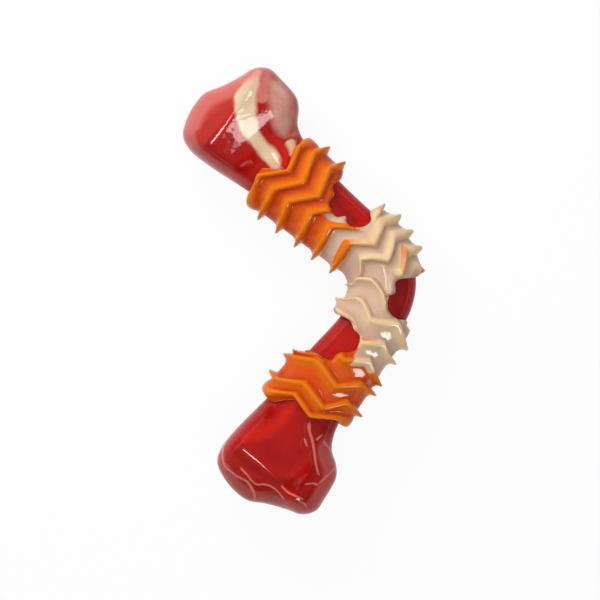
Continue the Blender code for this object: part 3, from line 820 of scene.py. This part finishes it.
def core_material():
    g = Graph("marbled_nylon")
    cloud = g.noise(38, 4, 1.2)
    swirl = g.noise(70, 3, 2.5)
    fine = g.noise(420, 2)
    ragged = g.math("MULTIPLY_ADD", g.noise(160, 3, 0.6), 2.4, -1.2)
    wavy = g.math("MULTIPLY_ADD", g.noise(90, 2), 0.8, -0.4)

    def band(name, low, high, amount):
        edge = g.math("ADD", g.field(name), ragged)
        return g.math("MULTIPLY", g.step(edge, low, high), amount)
    colour = g.blend(g.step(cloud, 0.35, 0.68), *REDS)
    colour = g.blend(g.math("MULTIPLY", g.step(swirl, 0.56, 0.74), 0.35), colour, RED_SWIRL)
    # Painted reflection: the upper knuckle's end beyond its crest turns pink where it faces the
    # light from the upper left.
    end_sheen = g.math("MULTIPLY", g.step(g.field("end"), -1.2, 0.6), 0.35)
    colour = g.blend(end_sheen, colour, END_SHEEN_PINK)
    # Painted pale sheen towards the rim, a painted reflection of the light from the upper left.
    rim = g.math("ADD", g.field("rim"), g.math("MULTIPLY", ragged, 0.06))
    painted_sheen = g.math("MULTIPLY", g.step(rim, 1.08, 0.72), g.math("MULTIPLY_ADD", rim, -0.3, 0.78))
    colour = g.blend(g.math("MULTIPLY", painted_sheen, g.field("painted_sheen")), colour, RIM_SHEEN_PINK)
    # Darker red: painted shade round the elbow, and a deeper red along the other dark bands.
    colour = g.blend(band("deep", -2.0, 2.0, 0.7), colour, RED_SHADE_AND_DEEP)
    colour = g.blend(band("bright", -2.0, 2.0, 0.65), colour, RED_BRIGHT)
    colour = g.blend(band("blush", -1.2, 1.2, 0.8), colour, BLUSH)
    pale_pink = g.blend(g.step(swirl, 0.3, 0.7), *PALE_PINKS)
    colour = g.blend(band("pink", -2.2, 2.2, 0.9), colour, pale_pink)
    cream = g.blend(g.step(cloud, 0.4, 0.65), *CREAMS)
    # The cream turns pinker towards the rim, over the width of the painted sheen.
    cream = g.blend(g.step(rim, 1.1, 0.4), cream, CREAM_RIM)
    colour = g.blend(band("cream", -1.0, 1.0, 0.95), colour, cream)
    for n in range(len(VEINS)):
        off = g.math("ABSOLUTE", g.math("ADD", g.field(f"vein_side_{n}"), wavy))
        inside = g.math("SUBTRACT", g.field(f"vein_size_{n}"), off)
        vein = g.math("MULTIPLY", g.step(inside, -0.3, 0.15), 0.8)
        colour = g.blend(vein, colour, VEIN_PINK)
    gloss = g.math("MULTIPLY_ADD", g.step(g.field("dull"), -1.2, 0.8), -DULLING, 1.0)
    return g.glossy(colour, fine, bump=0.12, rough=(0.035, 0.06), slant=(0.14, 0.42), ior=1.5,
                    subsurface=0.15, radius=(1.0, 0.15, 0.1), gloss=gloss)


def sleeve_material():
    g = Graph("two_colour_rubber")
    cloud = g.noise(60, 3, 0.8)
    fine = g.noise(600, 2)
    shift = g.math("MULTIPLY_ADD", g.noise(150, 3, 0.8), 0.3, -0.15)
    orange = g.step(g.math("ADD", g.field("orange"), shift), 0.3, 0.7)
    on_crest = g.step(g.field("height"), 0.05, 0.6)
    # Painted shade in the creases: the rubber turns towards its darker crease colour there.
    crease_shade = g.math("MULTIPLY", g.field("crease_shade"), 0.7)

    def rubber(floors, crest, crease):
        colour = g.blend(g.step(cloud, 0.35, 0.65), *floors)
        return g.blend(crease_shade, g.blend(on_crest, colour, crest), crease)
    colour = g.blend(orange, rubber(*CREAM_RUBBER), rubber(*ORANGE_RUBBER))
    return g.glossy(colour, fine, bump=0.15, rough=(0.07, 0.14), slant=(0.15, 0.45), ior=1.48,
                    subsurface=0.2, radius=(1.0, 0.35, 0.15))


def floor_material():
    g = Graph("white_floor")
    path = g.tree.nodes.new("ShaderNodeLightPath")
    seen = g.math("MAXIMUM", path.outputs["Is Camera Ray"], path.outputs["Is Glossy Ray"])
    seen = g.math("MAXIMUM", seen, path.outputs["Is Transmission Ray"])
    paper = g.add("BsdfDiffuse", {"Color": (PAPER, PAPER, PAPER, 1)})
    light = g.add("Emission", {"Color": (1, 1, 1, 1), "Strength": 1.0})
    glow = g.math("MULTIPLY", seen, FLOOR_GLOW)
    return g.finish(g.add("MixShader", {0: glow, 1: paper, 2: light}))


# Studio. Directions are given in the photo's axes.
PHOTO_TURN = math.radians(6)
UPPER_LEFT = (-0.6, 1)
# The camera looks straight down from this height above the bend's plane.
CAMERA_CENTRE = (-5.9, -4.38)
CAMERA_HEIGHT = 650.0
CAMERA_LENS, CAMERA_SENSOR = 97.5, 36
CAMERA_CLIP = (0.01, 20)


def build_camera():
    data = bpy.data.cameras.new("photo_view")
    data.sensor_width = CAMERA_SENSOR
    data.lens = CAMERA_LENS
    data.clip_start, data.clip_end = CAMERA_CLIP
    camera = bpy.data.objects.new("photo_view", data)
    bpy.context.scene.collection.objects.link(camera)
    camera.location = [v * MM for v in (*CAMERA_CENTRE, REST_HEIGHT + CAMERA_HEIGHT)]
    camera.rotation_euler = (0, 0, -PHOTO_TURN)
    bpy.context.scene.camera = camera


def photo_direction(right, up, tilt):
    """World direction of a direction in the photo's axes, tilted from overhead."""
    length = math.hypot(right, up)
    x, y = right / length * math.sin(tilt), up / length * math.sin(tilt)
    cos, sin = math.cos(PHOTO_TURN), math.sin(PHOTO_TURN)
    return Vector((x * cos + y * sin, -x * sin + y * cos, math.cos(tilt)))


def build_lamp(name, towards, distance, size, turn, brightness, seen):
    """A softbox of a given brightness, where 1 is as bright as the white floor, turned on its axis.

    It either lights the object or is seen in its gloss, as the studio's flags would have it.
    """
    data = bpy.data.lights.new(name, "AREA")
    data.shape = "RECTANGLE"
    data.size, data.size_y = size
    data.energy = brightness * math.pi * size[0] * size[1]
    lamp = bpy.data.objects.new(name, data)
    bpy.context.scene.collection.objects.link(lamp)
    lamp.location = towards * distance
    lamp.rotation_euler = (towards.to_track_quat("Z", "Y") @ Quaternion((0, 0, 1), turn)).to_euler()
    lamp.visible_camera = False
    lamp.visible_glossy = seen
    lamp.visible_diffuse = not seen


# The dark patch: its middle, the angles round it where it ends and where it is darkest, and the
# strength of the surroundings outside and inside it.
DARK_PATCH = photo_direction(1, -1, math.radians(25))
DARK_REACH = (114, 99)
STUDIO_WHITE, STUDIO_DARK = 1.2, 0.2
# Name, direction (right, up, tilt in degrees), distance, size, turn on its axis in degrees,
# brightness, and whether it is seen in the gloss or lights the object.
LAMPS = (
    ("fill_softbox", (*UPPER_LEFT, 46), 0.65, (0.5, 0.5), 0, 4.15, False),
    ("top_softbox", (0.2, -1, 18), 0.8, (0.5, 0.5), 0, 3.0, False),
    ("low_window", (0.9, -1, 59), 0.8, (0.34, 0.24), 0, 14.0, True),
    ("high_window", (1, -0.11, 15.1), 0.78, (0.06, 0.1), 28, 9.0, True),
    ("overhead_strip", (1, 0.31, 5.4), 0.8, (0.08, 0.03), 0, 16.0, True),
)
SHARP_ANGLE = math.radians(50)
FLOOR_REACH = 3


def build_world():
    """Pale surroundings with a dark patch overhead, where the studio has no light.

    Behind the far edge of the floor the camera sees them white.
    """
    world = bpy.data.worlds.new("studio")
    bpy.context.scene.world = world
    world.use_nodes = True
    tree = world.node_tree
    tree.nodes.clear()
    where = tree.nodes.new("ShaderNodeTexCoord")
    dot = tree.nodes.new("ShaderNodeVectorMath")
    dot.operation = "DOT_PRODUCT"
    dot.inputs[1].default_value = DARK_PATCH
    ramp = tree.nodes.new("ShaderNodeMapRange")
    ramp.interpolation_type = "SMOOTHSTEP"
    end, darkest = (math.cos(math.radians(a)) for a in DARK_REACH)
    for k, value in enumerate((end, darkest, STUDIO_WHITE, STUDIO_DARK)):
        ramp.inputs[k + 1].default_value = value
    path = tree.nodes.new("ShaderNodeLightPath")
    seen = tree.nodes.new("ShaderNodeMix")
    seen.inputs["B"].default_value = 1.0
    sky = tree.nodes.new("ShaderNodeBackground")
    out = tree.nodes.new("ShaderNodeOutputWorld")
    tree.links.new(where.outputs["Generated"], dot.inputs[0])
    tree.links.new(dot.outputs["Value"], ramp.inputs[0])
    tree.links.new(path.outputs["Is Camera Ray"], seen.inputs["Factor"])
    tree.links.new(ramp.outputs[0], seen.inputs["A"])
    tree.links.new(seen.outputs["Result"], sky.inputs["Strength"])
    tree.links.new(sky.outputs[0], out.inputs["Surface"])
    sky.inputs["Color"].default_value = (1, 1, 1, 1)


def finish_surface(obj, material, node):
    mesh = obj.data
    mesh.materials.clear()
    mesh.materials.append(material)
    mesh.polygons.foreach_set("use_smooth", np.ones(len(mesh.polygons), bool))
    mesh.set_sharp_from_angle(angle=SHARP_ANGLE)
    mesh.update()
    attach(obj, "root")
    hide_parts(node)


scene = bpy.context.scene
scene.view_settings.view_transform = "Standard"
looks = bpy.data.collections.new("looks")
scene.collection.children.link(looks)

core = core_mesh(looks)
marble(core)
finish_surface(core, core_material(), "bone_core")
sleeve = sleeve_mesh(looks)
finish_surface(sleeve, sleeve_material(), "chew_sleeve")

corners = [(x * FLOOR_REACH, y * FLOOR_REACH, 0) for x, y in ((-1, -1), (1, -1), (1, 1), (-1, 1))]
floor = new_object("floor", corners, [(0, 1, 2, 3)], scene.collection)
floor.data.materials.append(floor_material())

build_camera()
build_world()
for name, (right, up, tilt), distance, size, turn, brightness, seen in LAMPS:
    build_lamp(name, photo_direction(right, up, math.radians(tilt)), distance, size,
               math.radians(turn), brightness, seen)
